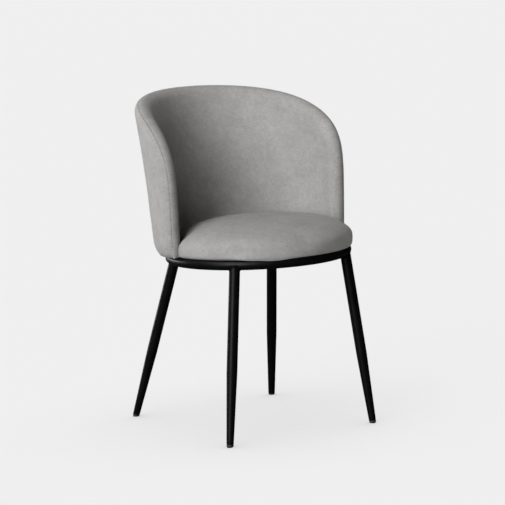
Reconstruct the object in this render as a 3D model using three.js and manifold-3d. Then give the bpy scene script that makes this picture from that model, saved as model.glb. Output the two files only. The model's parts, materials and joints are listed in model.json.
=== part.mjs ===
// Upholstered barrel-back dining chair on a round-tube steel base.
// Millimetres, +Z up. The front of the chair faces -Y, and left and right are as seen from the front.
// The model is laid out around the centre of the seat hoop, on the floor, and the last lines move it
// so that the origin is on the floor under the middle of the whole chair.
import * as THREE from 'three';
import { mergeVertices } from 'three/addons/utils/BufferGeometryUtils.js';
import Module from 'manifold-3d';

const wasm = await Module();
wasm.setup();

// ---- Driving dimensions ----

const gap = 0.3;                 // clearance between touching pieces
const deg = Math.PI / 180;

const hoopRadius = 214.6;        // centre line of the seat hoop
const hoopTube = 12.5;           // outer radius of the hoop's tube
const hoopHeight = 426.5;        // centre of the hoop above the floor
const tubeWall = 1.5;
const breatherRadius = 3;

const legCircle = 216.5;         // where the legs' axes would cross the hoop's level
const legTopRadius = 12.5;
const legTipRadius = 8.6;
const legStraightShare = 0.52;   // upper part of a leg that keeps its full diameter
const legBuried = 3;             // the tube is cut to the hoop's shape this far below its centre line
const glideHeight = 7;           // plastic foot showing below the steel
const glidePlug = 22;            // part of the foot that is pushed up into the leg
const glideSole = [[1, 0.6], [0, 2.4]]; // narrowing at the sole, as [radius less, height]
const legs = {
  front_left: { foot: [-200.6, -170.9], angle: -45 },
  front_right: { foot: [200.6, -170.9], angle: 45 },
  rear_left: { foot: [-200.6, 317.3], angle: -140.8 },
  rear_right: { foot: [200.6, 317.3], angle: 140.8 },
};

const plateThickness = 2.7;      // steel plates that lie on top of the hoop
const plateBottom = hoopHeight + hoopTube + gap;
const plateTop = plateBottom + plateThickness;
const tabWidth = 42;
const tabInnerEdge = 146;
const tabBolt = 164;             // distance of a seat bolt from the hoop's axis

const boltRadius = 3;
const boltLength = 18;
const boltHeadRadius = 5.5;
const boltHeadHeight = 4;
const washerRadius = 8;
const washerThickness = 1.4;
const flangeRadius = 9.5;
const flangeThickness = 1.5;
const pocketRoom = 1;            // room that the foam leaves round a tee nut's flange
const barrelRadius = 4.2;
const barrelLength = 9;

const seatRadius = 232;          // cushion in front of the arms, from the hoop's axis
const seatCentre = -20;          // middle of the cushion's crown
const seatHalfWidth = 208;       // cushion between the arms
const seatRear = 198;            // its reach behind the middle
const seatPower = 2.4;           // squarer than an ellipse, to follow the back
const seatNotch = [88.7 * deg, 95.8 * deg]; // where the cushion steps in round the arms' front edges
const seatSteps = [9, 8];        // facets of half the outline, in front of the notch and behind it
const boardThickness = 12;
const boardInset = 11;
const clothThickness = 1.5;
const clothSide = [2, 9];        // start of the cloth's curve inwards, as [inset, height above its foot]
const clothFoot = 8;             // inset of the cloth's lower edge
const lipWidth = 25;             // cloth turned under the seat board
const dustThickness = 1;
const crownHeight = 517;         // highest point of the seat
const seatWidest = 463;          // height at which the cushion stands out most
const crownPower = [2.4, 2.1];

const backCentre = 15;           // axis of the back, behind the hoop's axis
const backRadius = 211.4;        // middle of the back's thickness, at leanFrom
const backFlatness = 0.0966;     // how much flatter the rear is than the arms
const leanFrom = 470;
const rearLean = 0.32;           // outward lean of the back, as a slope
const sideLean = 0.0255;         // and of the arms
const backThickness = 42;
const backTop = 825.5;
const rimDrop = 25.4;            // fall of the top rim from the rear to the side
const rimPower = [2.03, 6.4];    // roundness of the rim, sideways and upwards
const armAngle = 96.7 * deg;     // front edges of the arms, measured from the rear
const armReach = 0.03;           // share of their turn that the arms' front edges come forward by,
const armReachHeight = 300;      // over this height
const tuckFrom = 430;            // height at which the outside would have curled in all the way
const tuckDepth = 34;
const tuckHeight = 44;
const plyThickness = 9;
const plyInset = 14;             // from the rim to the edge of the plywood
const lowestStep = 4;            // height of the lowest strip of facets
const padFoot = 12;              // plywood and padding start this far above the foot of the cloth

const bracketAngles = { left: -60, rear: 0, right: 60 };
const bracketWidth = 30;
const bracketHeight = 70;
const bracketReach = 76;
const screwRadius = 2;
const screwHead = 4;
const screwHeadHeight = 2.4;
const screwLength = 9.5;
const screwPoint = 1.5;          // length of the blunt point
const screwSeat = 0.1;           // a screw's head stands off its plate this much

const lipBottom = plateTop - clothThickness;
const boardBottom = plateTop + gap;
const boardTop = boardBottom + boardThickness;
const baseHeight = lipBottom;    // foot of the back and of the cushion's cloth

const hoopSegments = 40;
const legSegments = 16;
const hardwareSegments = 12;
const screwSegments = 8;

// ---- Materials ----

function finish(color, roughness, metalness) {
  return () => new THREE.MeshStandardMaterial({ color, roughness, metalness });
}
const blackSteel = finish(0x17171a, 0.45, 0.6);
const zincSteel = finish(0xb4b6b8, 0.35, 0.9);
const blackPlastic = finish(0x101011, 0.6, 0);
const plywood = finish(0xc9a878, 0.7, 0);
const foam = finish(0xe9e2c8, 0.95, 0);
const greyCloth = finish(0x9b9894, 0.95, 0);
const blackFleece = finish(0x202022, 0.95, 0);

const chair = new THREE.Group();

function piece(name, geometry, material) {
  const mesh = new THREE.Mesh(geometry, material());
  mesh.name = name;
  chair.add(mesh);
  return mesh;
}

// ---- Solids ----

function merged(geometry) {
  const bare = geometry.clone();
  bare.deleteAttribute('normal');
  bare.deleteAttribute('uv');
  return mergeVertices(bare, 1e-4);
}

function solid(geometry, matrix = new THREE.Matrix4()) {
  const bare = merged(geometry.clone().applyMatrix4(matrix));
  return new wasm.Manifold(new wasm.Mesh({
    numProp: 3,
    vertProperties: new Float32Array(bare.attributes.position.array),
    triVerts: new Uint32Array(bare.index.array),
  }));
}

function shape(manifold) {
  const mesh = manifold.getMesh();
  const geometry = new THREE.BufferGeometry();
  geometry.setAttribute('position', new THREE.BufferAttribute(new Float32Array(mesh.vertProperties), 3));
  geometry.setIndex(new THREE.BufferAttribute(new Uint32Array(mesh.triVerts), 1));
  geometry.computeVertexNormals();
  return geometry;
}

// A round solid from [radius, height] pairs that run from the axis to the axis, or close on themselves.
function turned(points, segments = legSegments) {
  const outline = points.map(([radius, height]) => new THREE.Vector2(radius, height));
  return new THREE.LatheGeometry(outline, segments).rotateX(Math.PI / 2);
}

function rod(radius, from, to, segments = hardwareSegments) {
  return turned([[0, from], [radius, from], [radius, to], [0, to]], segments);
}

function block(low, high) {
  const size = high.map((value, axis) => value - low[axis]);
  const centre = high.map((value, axis) => (value + low[axis]) / 2);
  return new THREE.BoxGeometry(...size).translate(...centre);
}

function frameAt(position, xAxis, yAxis, zAxis) {
  return new THREE.Matrix4().makeBasis(xAxis, yAxis, zAxis).setPosition(position);
}

// A torus as a closed lathe, on the hoop's centre line.
function hoopSolid(radius, sides) {
  const ring = [];
  for (let side = 0; side <= sides; side += 1) {
    const angle = (side % sides) * 2 * Math.PI / sides;
    ring.push([hoopRadius + radius * Math.cos(angle), hoopHeight + radius * Math.sin(angle)]);
  }
  return turned(ring, hoopSegments);
}

// ---- Base: hoop, legs and glides ----

function legFrame({ foot, angle }) {
  const base = new THREE.Vector3(foot[0], foot[1], 0);
  const head = new THREE.Vector3(0, -legCircle, hoopHeight)
    .applyAxisAngle(new THREE.Vector3(0, 0, 1), angle * deg);
  const along = head.sub(base);
  const length = along.length();
  along.normalize();
  const across = new THREE.Vector3(0, 0, 1).cross(along).normalize();
  return { matrix: frameAt(base, across, along.clone().cross(across), along), length };
}

function legSolid(length) {
  const tip = glideHeight;
  const knee = length * (1 - legStraightShare);
  const top = length - legBuried;
  return turned([
    [legTipRadius - tubeWall, tip],
    [legTipRadius, tip],
    [legTopRadius, knee],
    [legTopRadius, top],
    [legTopRadius - tubeWall, top],
    [legTopRadius - tubeWall, knee],
    [legTipRadius - tubeWall, tip],
  ]);
}

function glideSolid() {
  const bore = legTipRadius - tubeWall - gap;
  const below = -legTipRadius;
  return turned([
    [0, below],
    [legTipRadius - glideSole[0][0], below],
    ...glideSole.map(([less, height]) => [legTipRadius - less, height]),
    [legTipRadius, glideHeight - gap],
    [bore, glideHeight - gap],
    [bore, glideHeight + glidePlug],
    [0, glideHeight + glidePlug],
  ]);
}

function buildBase() {
  const breather = rod(breatherRadius, hoopHeight - 2 * hoopTube, hoopHeight);
  const breatherPlace = new THREE.Matrix4().makeTranslation(0, hoopRadius, 0);
  const tube = solid(hoopSolid(hoopTube, 12))
    .subtract(solid(hoopSolid(hoopTube - tubeWall, 6)))
    .subtract(solid(breather, breatherPlace));
  piece('seat_hoop', shape(tube), blackSteel);

  const hoopRoom = solid(hoopSolid(hoopTube + gap, 12));
  const aboveFloor = solid(block([-hoopHeight, -hoopHeight, 0], [hoopHeight, hoopHeight, hoopHeight]));
  for (const [corner, leg] of Object.entries(legs)) {
    const { matrix, length } = legFrame(leg);
    piece(`leg_${corner}`, shape(solid(legSolid(length), matrix).subtract(hoopRoom)), blackSteel);
    piece(`glide_${corner}`, shape(solid(glideSolid(), matrix).intersect(aboveFloor)), blackPlastic);
  }
}

// ---- Back: one curved wall built up in layers ----

// Distance of the wall's middle surface from the back's axis, at a turn from the rear and a height.
function wallRadius(turn, height) {
  const lean = sideLean + (rearLean - sideLean) * Math.cos(turn) ** 2;
  const plan = backRadius * (1 - backFlatness * Math.cos(2 * turn));
  return plan + lean * (height - leanFrom);
}

// A point of the wall: turn from the rear, height, and offset outwards from the middle surface.
function wallPoint(turn, height, offset) {
  const forward = 1 + armReach * (height - leanFrom) / armReachHeight * (Math.abs(turn) / armAngle) ** 4;
  const angle = turn * forward;
  const radius = wallRadius(angle, height) + offset;
  return new THREE.Vector3(radius * Math.sin(angle), backCentre + radius * Math.cos(angle), height);
}

// The rim, from the front edge of one arm over the top to the other, as [turn, height]: even steps
// up a front edge to the corner of the rim, then even steps over the top.
function rimPoints(foot, sideSteps, topSteps) {
  const [flat, round] = rimPower;
  const corner = [0.5 ** (1 / flat), 0.5 ** (1 / round)];
  const half = [];
  for (let step = 0; step < sideSteps; step += 1) {
    const rise = corner[1] * step / sideSteps;
    half.push([(1 - rise ** round) ** (1 / flat), rise]);
  }
  for (let step = 0; step <= topSteps; step += 1) {
    const across = corner[0] * (1 - step / topSteps);
    half.push([across, (1 - across ** flat) ** (1 / round)]);
  }
  const whole = [...half, ...half.slice(0, -1).reverse().map(([across, rise]) => [-across, rise])];
  return whole.map(([across, rise]) => {
    const turn = armAngle * across;
    const top = backTop - rimDrop * (1 - Math.cos(turn));
    return [turn, foot + (top - foot) * rise];
  });
}

function tuck(height) {
  const share = 1 - Math.min(1, (height - tuckFrom) / tuckHeight);
  return tuckDepth * (1 - Math.sqrt(1 - share * share));
}

// An outside face that curls in at the foot of the wall by as much as its full offset allows.
function tucked(offset, fullOffset, height) {
  return offset - tuck(height) * offset / fullOffset;
}

// Half thickness of the rounded wall at a distance in from its rim.
function rounded(distance, radius) {
  const inside = Math.max(0, Math.min(distance, radius));
  return Math.sqrt(radius * radius - (radius - inside) ** 2);
}

// One layer of the wall. Rings of points run inside the rim at the given insets, then close in on
// the middle of the foot. inner and outer give the layer's two faces as offsets from the middle
// surface, at a distance in from the rim and a height.
function wallLayer({ foot, insets, inner, outer, steps = 8, sideSteps = 4, topSteps = 6 }) {
  const rows = [baseHeight, baseHeight + lowestStep, baseHeight + padFoot, tuckFrom + tuckHeight]
    .filter((height) => height >= foot);
  const star = rows.pop();
  const rims = [];
  for (const height of rows) {
    rims.push({ rim: [armAngle, height], pole: [0, height] });
  }
  for (const rim of rimPoints(star, sideSteps, topSteps)) {
    rims.push({ rim, pole: [0, star] });
  }
  for (const height of rows.reverse()) {
    rims.push({ rim: [-armAngle, height], pole: [0, height] });
  }

  const places = [];
  for (const { rim, pole } of rims) {
    const reach = Math.hypot(rim[0] * backRadius, rim[1] - pole[1]);
    const line = insets.map((inset) => inset / reach);
    const last = line[line.length - 1];
    for (let step = 1; step <= steps; step += 1) {
      line.push(last + (1 - last) * step / steps);
    }
    places.push(line.map((share) => ({
      turn: rim[0] + (pole[0] - rim[0]) * share,
      height: rim[1] + (pole[1] - rim[1]) * share,
      distance: share * reach,
    })));
  }

  const positions = [];
  const vertex = (place, face) => {
    const offset = face(place.distance, place.height);
    positions.push(...wallPoint(place.turn, place.height, offset).toArray());
    return positions.length / 3 - 1;
  };
  const outerGrid = places.map((line) => line.map((place) => vertex(place, outer)));
  const innerGrid = places.map((line) => line.map((place) => vertex(place, inner)));

  const index = [];
  const quad = (a, b, c, d) => index.push(a, c, b, a, d, c);
  const lastRow = places.length - 1;
  const lastStep = places[0].length - 1;
  for (let row = 0; row < lastRow; row += 1) {
    for (let step = 0; step < lastStep; step += 1) {
      quad(outerGrid[row][step], outerGrid[row + 1][step],
        outerGrid[row + 1][step + 1], outerGrid[row][step + 1]);
      quad(innerGrid[row][step], innerGrid[row][step + 1],
        innerGrid[row + 1][step + 1], innerGrid[row + 1][step]);
    }
    quad(innerGrid[row][0], innerGrid[row + 1][0], outerGrid[row + 1][0], outerGrid[row][0]);
  }
  for (let step = 0; step < lastStep; step += 1) {
    quad(innerGrid[0][step + 1], innerGrid[0][step], outerGrid[0][step], outerGrid[0][step + 1]);
    quad(innerGrid[lastRow][step], innerGrid[lastRow][step + 1],
      outerGrid[lastRow][step + 1], outerGrid[lastRow][step]);
  }
  const geometry = new THREE.BufferGeometry();
  geometry.setAttribute('position', new THREE.Float32BufferAttribute(positions, 3));
  geometry.setIndex(index);
  return withoutSlivers(mergeVertices(geometry, 1e-3));
}

function withoutSlivers(geometry) {
  const kept = [];
  const index = geometry.index.array;
  for (let corner = 0; corner < index.length; corner += 3) {
    const [a, b, c] = [index[corner], index[corner + 1], index[corner + 2]];
    if (a !== b && b !== c && c !== a) {
      kept.push(a, b, c);
    }
  }
  geometry.setIndex(kept);
  geometry.computeVertexNormals();
  return geometry;
}

const halfWall = backThickness / 2;
const padRadius = halfWall - clothThickness;
const padInset = clothThickness + gap;
const plyHalf = plyThickness / 2;
const padFace = (distance) => rounded(distance - padInset, padRadius - gap);
const coreFace = (distance) => (distance < plyInset - 2 * gap ? gap / 2 : plyHalf + gap);
const coreInset = plyInset - 3 * gap;
const roundStep = 6;             // one more ring on the rounded rim
const roundInsets = [0, clothThickness, roundStep, coreInset, halfWall];
const padInsets = [padInset, roundStep, coreInset, plyInset - gap, halfWall];

function clothLining(distance) {
  return Math.max(gap / 2, rounded(distance - clothThickness, padRadius));
}

function clothSurface(distance) {
  return Math.max(gap / 2, rounded(distance, halfWall));
}

const smallTurn = 0.01;

// Steel plates that lie on the hoop: four tabs for the seat bolts and three feet of back brackets.
function bracketFrame(angle) {
  const turn = angle * deg;
  const here = wallPoint(turn, plateTop, 0);
  const tangent = wallPoint(turn + smallTurn, plateTop, 0).sub(here).normalize();
  const out = new THREE.Vector3(-tangent.y, tangent.x, 0);
  const along = new THREE.Vector3(tangent.x, tangent.y, 0);
  here.z = 0;
  return frameAt(here, along, out, new THREE.Vector3(0, 0, 1));
}

function tongueFrame(angle) {
  const turn = angle * deg;
  const lean = Math.atan(sideLean + (rearLean - sideLean) * Math.cos(turn) ** 2);
  const tilt = new THREE.Matrix4().makeRotationX(-lean);
  const lift = new THREE.Matrix4().makeTranslation(0, 0, plateTop);
  return bracketFrame(angle).multiply(lift).multiply(tilt);
}

const tongueRoom = 1.2;              // the flat tongue stands this far off the curved plywood's middle
const tongueFace = -(plyHalf + tongueRoom);
const tongueRise = [26, 56];         // height of its two screws into the back's plywood
const footScrews = [-66, -52];       // reach of a bracket's two screws into the seat board

function bracketSolid(angle, extra) {
  const half = bracketWidth / 2 + extra;
  const foot = block(
    [-half, -bracketReach - extra, plateBottom - extra],
    [half, tongueFace + extra, plateTop + extra],
  );
  const tongue = block(
    [-half, tongueFace - plateThickness - extra, -plateThickness - extra],
    [half, tongueFace + extra, bracketHeight + extra],
  );
  return solid(foot, bracketFrame(angle)).add(solid(tongue, tongueFrame(angle)));
}

function tabFrame(angle) {
  return new THREE.Matrix4().makeRotationZ(angle * deg);
}

function tabSolid(angle, extra) {
  const half = tabWidth / 2 + extra;
  const plate = block(
    [-half, -hoopRadius - extra, plateBottom - extra],
    [half, -tabInnerEdge + extra, plateTop + extra],
  );
  return solid(plate, tabFrame(angle));
}

function joined(solids) {
  return solids.reduce((whole, next) => whole.add(next));
}

function plateRoom() {
  const tabs = Object.values(legs).map(({ angle }) => tabSolid(angle, gap));
  const feet = Object.values(bracketAngles).map((angle) => bracketSolid(angle, gap));
  return joined([...tabs, ...feet]);
}

// Screws: the tip points along +Z of the matrix, the underside of the head is at its origin.
function screwSolid(extra) {
  return turned([
    [0, -screwHeadHeight - extra],
    [screwHead + extra, -screwHeadHeight - extra],
    [screwHead + extra, extra],
    [screwRadius + extra, extra],
    [screwRadius + extra, screwLength - screwPoint],
    [0, screwLength + extra],
  ], screwSegments);
}

function bracketScrews(angle) {
  const inward = new THREE.Matrix4().makeRotationX(-Math.PI / 2);
  const screws = footScrews.map((reach) => bracketFrame(angle)
    .multiply(new THREE.Matrix4().makeTranslation(0, reach, plateBottom - screwSeat)));
  for (const rise of tongueRise) {
    const start = new THREE.Matrix4()
      .makeTranslation(0, tongueFace - plateThickness - screwSeat, rise);
    screws.push(tongueFrame(angle).multiply(start).multiply(inward));
  }
  return screws;
}

function buildBack(room, screwRoom) {
  const insideCloth = wallLayer({
    foot: baseHeight,
    insets: roundInsets,
    inner: (distance) => -clothSurface(distance),
    outer: (distance) => -clothLining(distance),
  });
  const outsideCloth = wallLayer({
    foot: baseHeight,
    insets: roundInsets,
    inner: (distance, height) => tucked(clothLining(distance), padRadius, height),
    outer: (distance, height) => tucked(clothSurface(distance), halfWall, height),
  });
  const insidePad = wallLayer({
    foot: baseHeight + padFoot,
    insets: padInsets,
    inner: (distance) => -padFace(distance),
    outer: (distance) => -coreFace(distance),
  });
  const outsidePad = wallLayer({
    foot: baseHeight + padFoot,
    insets: padInsets,
    inner: (distance) => coreFace(distance),
    outer: (distance, height) => tucked(padFace(distance), padRadius - gap, height),
  });
  const core = wallLayer({
    foot: baseHeight + padFoot,
    insets: [plyInset, halfWall],
    inner: () => -plyHalf,
    outer: () => plyHalf,
  });
  piece('back_inside_cover', shape(solid(insideCloth).subtract(room)), greyCloth);
  piece('back_outside_cover', shape(solid(outsideCloth).subtract(room)), greyCloth);
  piece('back_inside_foam', shape(solid(insidePad).subtract(room).subtract(screwRoom)), foam);
  piece('back_outside_foam', shape(solid(outsidePad).subtract(room).subtract(screwRoom)), foam);
  piece('back_plywood_shell', shape(solid(core).subtract(room).subtract(screwRoom)), plywood);
}

// ---- Seat cushion: board, foam and cover ----

// Outline of the cushion as a distance from its middle, at an angle from the front: round in front of
// the arms, and narrower between them.
function seatOutline(angle) {
  const side = Math.abs(Math.sin(angle));
  const along = Math.cos(angle);
  if (Math.acos(along) < seatNotch[1] - deg) {
    return seatCentre * along + Math.sqrt(seatRadius ** 2 - (seatCentre * side) ** 2);
  }
  const sum = (side / seatHalfWidth) ** seatPower + (Math.abs(along) / seatRear) ** seatPower;
  return sum ** (-1 / seatPower);
}

// The angles of the outline's corners, once round from the front.
function seatCorners() {
  const [frontSteps, rearSteps] = seatSteps;
  const half = [];
  for (let step = 0; step <= frontSteps; step += 1) {
    half.push(seatNotch[0] * step / frontSteps);
  }
  for (let step = 0; step <= rearSteps; step += 1) {
    half.push(seatNotch[1] + (Math.PI - seatNotch[1]) * step / rearSteps);
  }
  const other = half.slice(1, -1).reverse().map((angle) => 2 * Math.PI - angle);
  return [...half, ...other];
}

const seatAngles = seatCorners();

// A solid over the cushion's outline. Each profile point is [share of the outline, inset, height].
function seatSolid(profile) {
  const segments = seatAngles.length;
  const geometry = new THREE.LatheGeometry(profile.map(() => new THREE.Vector2(1, 0)), segments);
  const position = geometry.attributes.position;
  const rows = profile.length;
  for (let vertex = 0; vertex < position.count; vertex += 1) {
    const [share, inset, height] = profile[vertex % rows];
    const angle = seatAngles[Math.floor(vertex / rows) % segments];
    const radius = share === 0 ? 0 : share * (seatOutline(angle) - inset);
    position.setXYZ(vertex, radius * Math.sin(angle), seatCentre - radius * Math.cos(angle), height);
  }
  return withoutSlivers(merged(geometry));
}

// The cushion's outer skin, from the middle of the crown down to the foot of its side.
function crownProfile(inset) {
  const [flat, round] = crownPower;
  const rise = crownHeight - seatWidest;
  const points = [];
  for (const share of [0, 0.4, 0.65, 0.82, 0.93, 0.98, 1]) {
    points.push([share, inset, seatWidest - inset + rise * (1 - share ** flat) ** (1 / round)]);
  }
  return points;
}

function buildSeat(room, screwRoom, boltRoom, nutRoom) {
  const board = seatSolid([
    [0, 0, boardBottom],
    [1, boardInset, boardBottom],
    [1, boardInset, boardTop],
    [0, 0, boardTop],
  ]);
  piece('seat_board', shape(solid(board).subtract(screwRoom).subtract(boltRoom)), plywood);

  const [sideInset, sideRise] = clothSide;
  const pad = seatSolid([
    ...crownProfile(padInset),
    [1, padInset + sideInset, boardTop + gap],
    [0, 0, boardTop + gap],
  ].reverse());
  piece('seat_foam', shape(solid(pad).subtract(nutRoom)), foam);

  const lipTop = lipBottom + clothThickness - gap / 2;
  const cloth = seatSolid([
    ...crownProfile(0),
    [1, sideInset, lipBottom + sideRise],
    [1, clothFoot, lipBottom],
    [1, clothFoot + lipWidth, lipBottom],
    [1, clothFoot + lipWidth, lipTop],
    [1, clothFoot + clothThickness, lipTop],
    [1, sideInset + clothThickness, lipBottom + sideRise],
    ...crownProfile(clothThickness).reverse(),
  ].reverse());
  piece('seat_cover', shape(solid(cloth).subtract(room)), greyCloth);

  const dustInset = clothFoot + lipWidth + dustThickness;
  const dust = seatSolid([
    [0, 0, plateTop - dustThickness],
    [1, dustInset, plateTop - dustThickness],
    [1, dustInset, plateTop],
    [0, 0, plateTop],
  ]);
  piece('dust_cover', shape(solid(dust).subtract(room)), blackFleece);
}

// ---- Steel plates and fasteners ----

function buildBrackets(screwRoom) {
  for (const [side, angle] of Object.entries(bracketAngles)) {
    piece(`back_bracket_${side}`, shape(bracketSolid(angle, 0).subtract(screwRoom)), blackSteel);
    bracketScrews(angle).forEach((matrix, number) => {
      const screw = piece(`screw_${side}_${number + 1}`, screwSolid(0), zincSteel);
      screw.applyMatrix4(matrix);
    });
  }
}

function boltPlace(angle) {
  return tabFrame(angle).multiply(new THREE.Matrix4().makeTranslation(0, -tabBolt, 0));
}

function buildTabs() {
  for (const [corner, { angle }] of Object.entries(legs)) {
    const place = boltPlace(angle);
    const hole = solid(rod(boltRadius + gap, plateBottom - gap, plateTop + gap), place);
    piece(`seat_tab_${corner}`, shape(tabSolid(angle, 0).subtract(hole)), blackSteel);

    const washerTop = plateBottom - gap;
    const headTop = washerTop - washerThickness - gap;
    const washer = turned([
      [boltRadius + gap, washerTop - washerThickness],
      [washerRadius, washerTop - washerThickness],
      [washerRadius, washerTop],
      [boltRadius + gap, washerTop],
      [boltRadius + gap, washerTop - washerThickness],
    ], hardwareSegments);
    piece(`washer_${corner}`, washer, zincSteel).applyMatrix4(place);

    const head = rod(boltHeadRadius, headTop - boltHeadHeight, headTop, 6);
    const shank = rod(boltRadius, headTop - gap, headTop + boltLength);
    const bolt = shape(solid(head).add(solid(shank)));
    piece(`seat_bolt_${corner}`, bolt, zincSteel).applyMatrix4(place);

    const flange = boardTop + gap;
    const barrelEnd = flange - barrelLength;
    const nut = turned([
      [boltRadius + gap, barrelEnd],
      [barrelRadius, barrelEnd],
      [barrelRadius, flange],
      [flangeRadius, flange],
      [flangeRadius, flange + flangeThickness],
      [boltRadius + gap, flange + flangeThickness],
      [boltRadius + gap, barrelEnd],
    ], hardwareSegments);
    piece(`tee_nut_${corner}`, nut, zincSteel).applyMatrix4(place);
  }
}

const screwRoomSolid = joined(Object.values(bracketAngles)
  .flatMap((angle) => bracketScrews(angle))
  .map((matrix) => solid(screwSolid(gap), matrix)));
const boltPlaces = Object.values(legs).map(({ angle }) => boltPlace(angle));
const boltHole = rod(barrelRadius + gap, boardBottom - gap, boardTop + gap);
const boltRoomSolid = joined(boltPlaces.map((matrix) => solid(boltHole, matrix)));
const nutPocket = rod(flangeRadius + pocketRoom, boardTop, boardTop + gap + flangeThickness + pocketRoom);
const nutRoomSolid = joined(boltPlaces.map((matrix) => solid(nutPocket, matrix)));
const plateRoomSolid = plateRoom();

buildBase();
buildTabs();
buildBrackets(screwRoomSolid);
buildSeat(plateRoomSolid, screwRoomSolid, boltRoomSolid, nutRoomSolid);
buildBack(plateRoomSolid, screwRoomSolid);

const bounds = new THREE.Box3().setFromObject(chair);
chair.position.y = -(bounds.min.y + bounds.max.y) / 2;

export default chair;
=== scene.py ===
"""The looks of the upholstered barrel-back dining chair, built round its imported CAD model.

Every length is in metres, in the model's own frame: +Z up, the front of the chair faces -Y.
"""
import json
import math

import bmesh
import bpy
import numpy as np
from mathutils import Matrix, Vector


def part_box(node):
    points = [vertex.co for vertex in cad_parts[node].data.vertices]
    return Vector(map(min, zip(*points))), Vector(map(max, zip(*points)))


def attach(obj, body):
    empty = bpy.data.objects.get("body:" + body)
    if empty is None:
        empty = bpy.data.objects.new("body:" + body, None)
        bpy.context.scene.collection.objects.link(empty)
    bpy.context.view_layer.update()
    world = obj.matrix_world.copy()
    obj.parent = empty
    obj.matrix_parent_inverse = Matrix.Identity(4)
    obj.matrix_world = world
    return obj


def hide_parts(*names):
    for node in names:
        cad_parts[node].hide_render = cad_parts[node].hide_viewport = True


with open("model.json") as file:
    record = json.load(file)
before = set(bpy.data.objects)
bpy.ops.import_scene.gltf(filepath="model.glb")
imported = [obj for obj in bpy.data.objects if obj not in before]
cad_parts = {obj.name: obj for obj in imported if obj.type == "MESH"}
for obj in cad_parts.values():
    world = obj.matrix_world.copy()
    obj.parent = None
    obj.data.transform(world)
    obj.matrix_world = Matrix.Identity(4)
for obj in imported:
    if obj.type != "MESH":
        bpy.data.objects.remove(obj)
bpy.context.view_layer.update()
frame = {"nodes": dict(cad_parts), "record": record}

SCENE = bpy.context.scene
CORNERS = ("front_left", "front_right", "rear_left", "rear_right")

# ---- Sizes read from the frame ----

hoop_low, hoop_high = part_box("seat_hoop")
HOOP_Y = (hoop_low.y + hoop_high.y) / 2
HOOP_Z = (hoop_low.z + hoop_high.z) / 2
TUBE = (hoop_high.z - hoop_low.z) / 2
HOOP_R = (hoop_high.x - hoop_low.x) / 2 - TUBE
PLATE_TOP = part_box("seat_tab_front_left")[1].z
FOOT_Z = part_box("seat_cover")[0].z
BACK_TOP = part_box("back_outside_cover")[1].z

# ---- The back's shape, as the CAD model builds it ----

BACK_Y = HOOP_Y + 0.015          # axis of the back
WALL_R = 0.2114                  # mean radius of the wall's middle surface, at LEAN_FROM
WALL_FLATNESS = 0.0966           # share of it added at the sides, and taken off at the rear
LEAN_FROM = 0.470
REAR_LEAN = 0.32                 # how much further out the rear stands, per metre of height
SIDE_LEAN = 0.0255               # and the sides
HALF_WALL = 0.021                # half of the padded wall's thickness
ARM_ANGLE = math.radians(96.7)   # from the rear to the front of an arm
ARM_REACH = 0.03                 # share by which an arm reaches further forward, over this height
ARM_REACH_HEIGHT = 0.3
ARM_REACH_POWER = 4
RIM_DROP = 0.0254                # how far the top line falls over a quarter turn from the rear
RIM_POWER = (2.03, 6.4)          # superellipse powers of the rim, along and up
TUCK_FROM = 0.430                # height at which the outside would have curled in all the way
TUCK_DEPTH = 0.034
TUCK_HEIGHT = 0.044
PLY_HALF = 0.0045

# ---- The seat cushion's outline ----

SEAT_Y = HOOP_Y - 0.020
SEAT_RADIUS = 0.233              # in front of the arms, from the hoop's axis
SEAT_HALF_WIDTH = 0.2085         # between the arms
SEAT_REAR = 0.199                # from the crown's middle to the rear
SEAT_POWER = 2.4
SEAT_NOTCH = (91.5, 97.0)        # where the sewn edge steps in round the arms, in degrees from the front
SEAT_WAIST = (77, 118)           # and where the padding above it narrows
NOTCH_POWER = 6                  # how soon the notch fades out towards the crown
SEAT_WIDEST = 0.463
SEAT_CROWN = 0.5172
CROWN_POWER = (2.4, 2.1)         # superellipse powers of the crown, along and up


# ---- Small helpers ----

def smooth_noise(u, v, seed, waves=7):
    """A gentle random surface from -1 to 1, the same on every run. u and v are in waves."""
    rng = np.random.default_rng(seed)
    total = np.zeros(np.broadcast(u, v).shape)
    for _ in range(waves):
        angle = rng.uniform(0, 2 * math.pi)
        pitch = rng.uniform(0.6, 1.6)
        phase = rng.uniform(0, 2 * math.pi)
        turn = 2 * math.pi * pitch * (u * math.cos(angle) + v * math.sin(angle))
        total = total + np.sin(turn + phase)
    return total / waves


MERGE_DISTANCE = 1e-6


def make_piece(name, points, faces, weave=None):
    """A smooth-shaded mesh object whose faces point outwards."""
    mesh = bpy.data.meshes.new(name)
    mesh.from_pydata([tuple(p) for p in points], [], [tuple(f) for f in faces])
    if weave is not None:
        store_weave(mesh, weave)
    shell = bmesh.new()
    shell.from_mesh(mesh)
    bmesh.ops.remove_doubles(shell, verts=shell.verts, dist=MERGE_DISTANCE)
    bmesh.ops.recalc_face_normals(shell, faces=shell.faces)
    shell.to_mesh(mesh)
    shell.free()
    mesh.shade_smooth()
    piece = bpy.data.objects.new(name, mesh)
    SCENE.collection.objects.link(piece)
    return piece


def store_weave(mesh, weave):
    """Keeps each point's place on the flat cloth, in metres, for the cloth material."""
    layer = mesh.attributes.new("weave", "FLOAT_VECTOR", "POINT")
    flat = np.zeros((len(mesh.vertices), 3), np.float32)
    flat[:, : weave.shape[1]] = weave
    layer.data.foreach_set("vector", flat.ravel())


def finish_piece(piece, slot, material, *nodes):
    """Gives a piece its material, hides the CAD nodes it stands for, and hangs it on the root body."""
    piece.data.materials.clear()
    piece.data.materials.append(material)
    if nodes:
        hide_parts(*nodes)
    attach(piece, "root")
    return piece


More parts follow.
